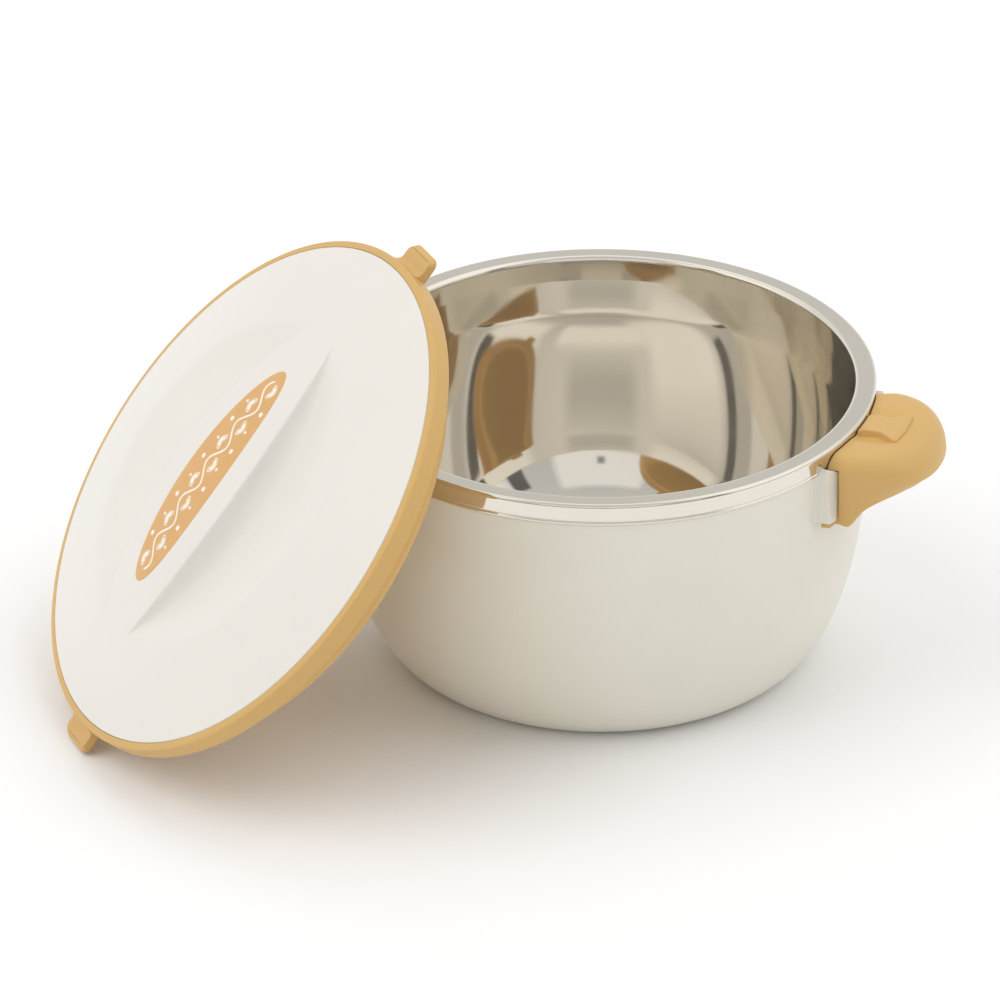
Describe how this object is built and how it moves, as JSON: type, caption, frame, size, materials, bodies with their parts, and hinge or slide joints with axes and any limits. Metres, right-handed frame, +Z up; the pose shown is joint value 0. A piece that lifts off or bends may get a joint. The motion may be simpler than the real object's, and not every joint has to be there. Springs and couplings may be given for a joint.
{
  "type": "thermal serving bowl",
  "caption": "Insulated serving bowl with a polished steel liner, cream plastic outside, ear handles and a domed lift-off lid with a grip ridge, which leans on the rim",
  "frame": {"origin": "centre of the bowl's base, on the surface that the bowl stands on", "axes": "+Z up along the bowl's axis, +X from one ear handle to the other; the lid leans towards -X -Y"},
  "size_m": [0.3956, 0.3518, 0.2107],
  "materials": {
    "polished_steel": "mirror polished",
    "pearl_plastic": "pearl gloss",
    "cream_plastic": "gloss",
    "ochre_plastic": "satin gloss",
    "printed_inlay": "printed gloss",
    "foam": "rigid foam"
  },
  "bodies": {
    "bowl": {"steel_liner": "polished_steel", "outer_shell": "pearl_plastic", "bowl_foam": "foam", "base_fill_plug": "pearl_plastic", "handle_right": "ochre_plastic", "handle_left": "ochre_plastic"},
    "lid": {"lid_base": "ochre_plastic", "lid_top": "cream_plastic", "lid_foam": "foam", "grip_insert": "printed_inlay", "lid_fill_plug": "ochre_plastic"}
  },
  "joints": [
    {"name": "lid_lift", "type": "slide", "parent": "bowl", "child": "lid", "axis": [-0.5614, -0.5162, 0.6468], "range_m": [0, 0.2]}
  ]
}
